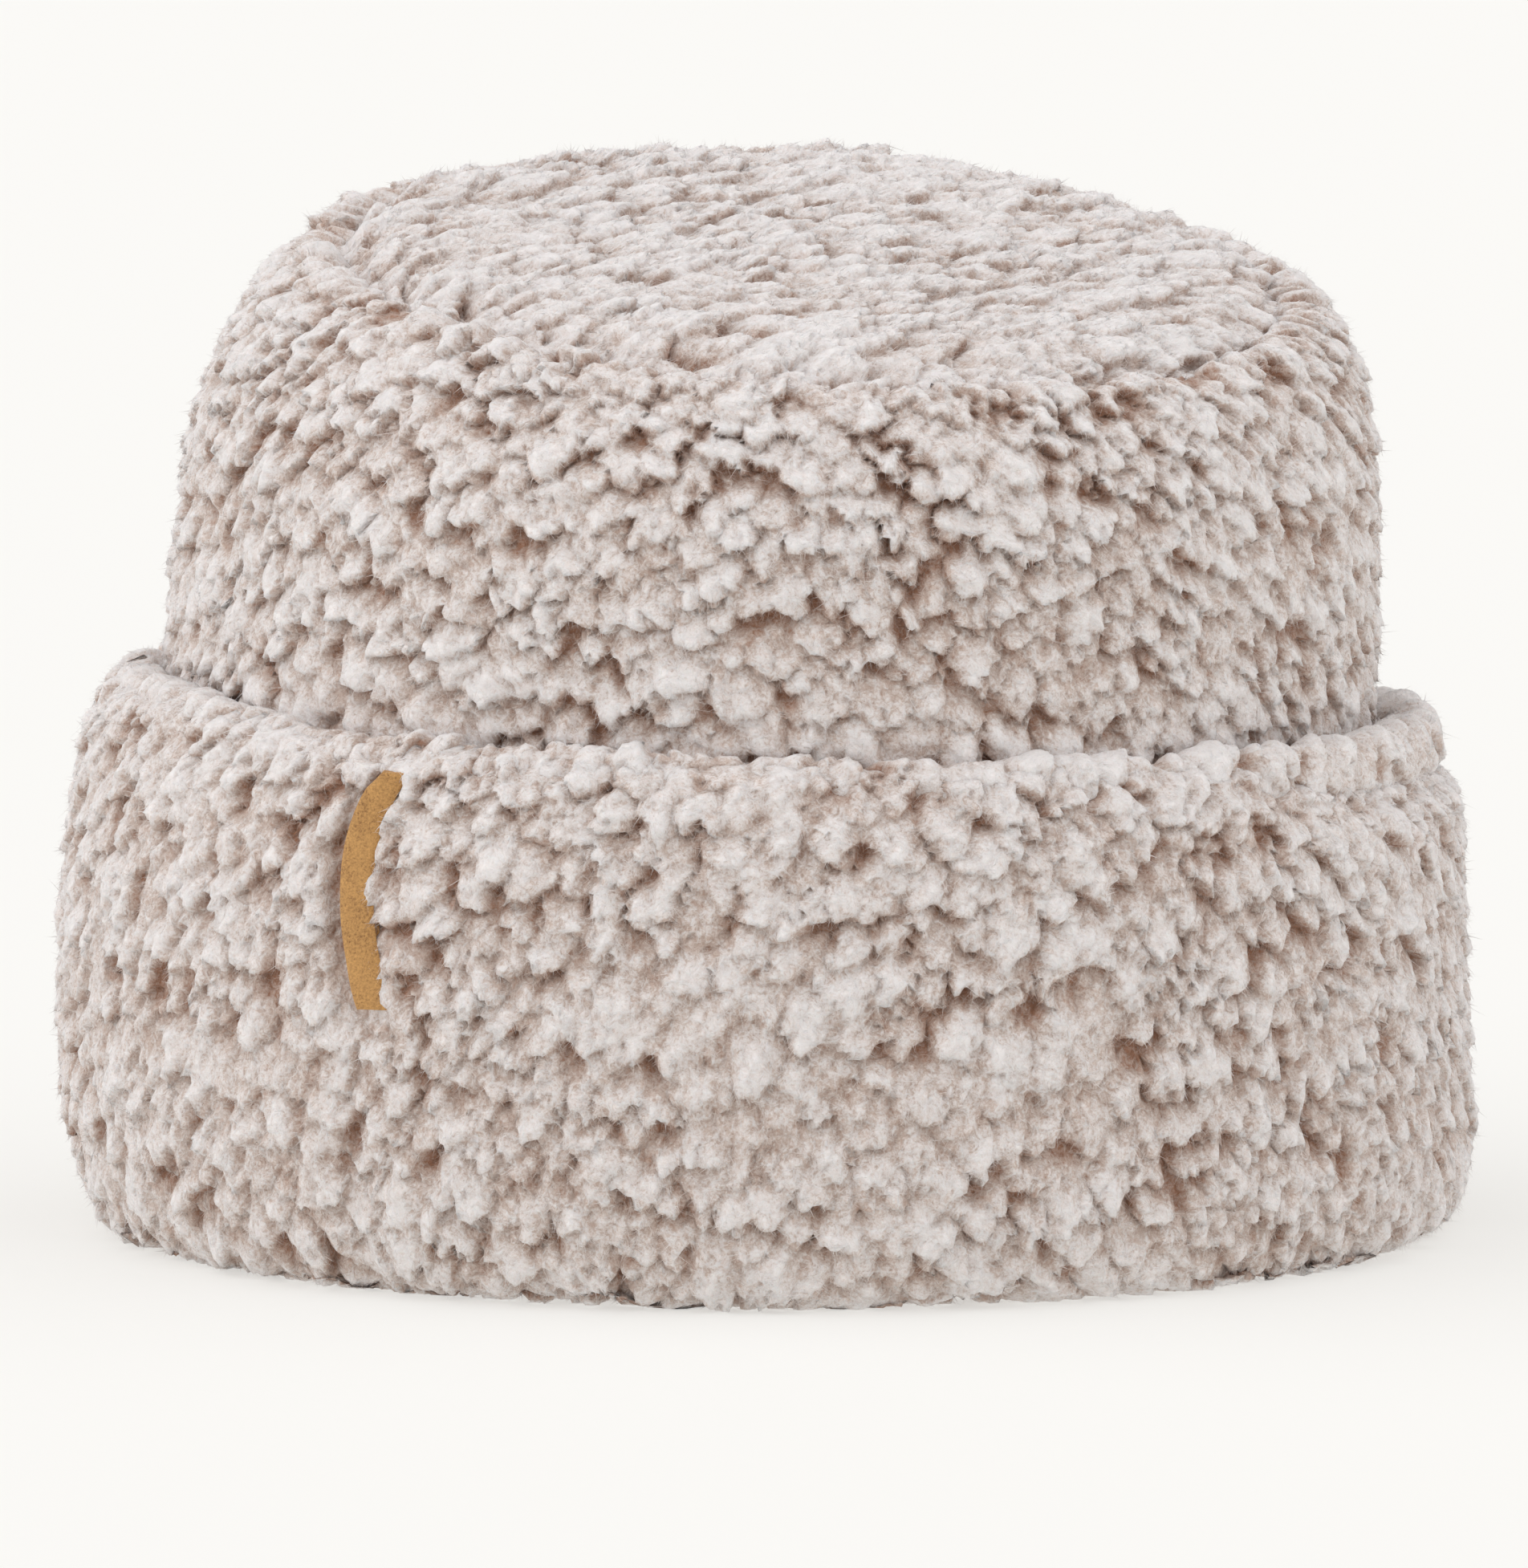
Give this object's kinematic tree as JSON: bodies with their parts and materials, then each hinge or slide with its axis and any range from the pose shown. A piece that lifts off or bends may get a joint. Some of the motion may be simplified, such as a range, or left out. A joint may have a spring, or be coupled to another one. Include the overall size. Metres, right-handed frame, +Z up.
{
  "type": "sherpa fleece pillbox hat with turned-up brim",
  "caption": "Soft pillbox hat of deep curly fleece with an oval tip, a tall crown side, a deep turned-up double brim and a small folded tab in the brim's seam.",
  "frame": {"origin": "on the surface the hat stands on, under the middle of the head opening", "axes": "+Z up through the crown, -Y towards the front, +X to the right as the front is viewed"},
  "size_m": [0.241, 0.2569, 0.1811],
  "materials": {
    "fleece": "off-white curly pile with warm beige partings",
    "tab": "matt tan with a fine dark grain"
  },
  "bodies": {
    "root": {"crown_tip": "fleece", "crown_side": "fleece", "brim_facing": "fleece", "brim_outer": "fleece", "tab": "tab"}
  },
  "joints": []
}
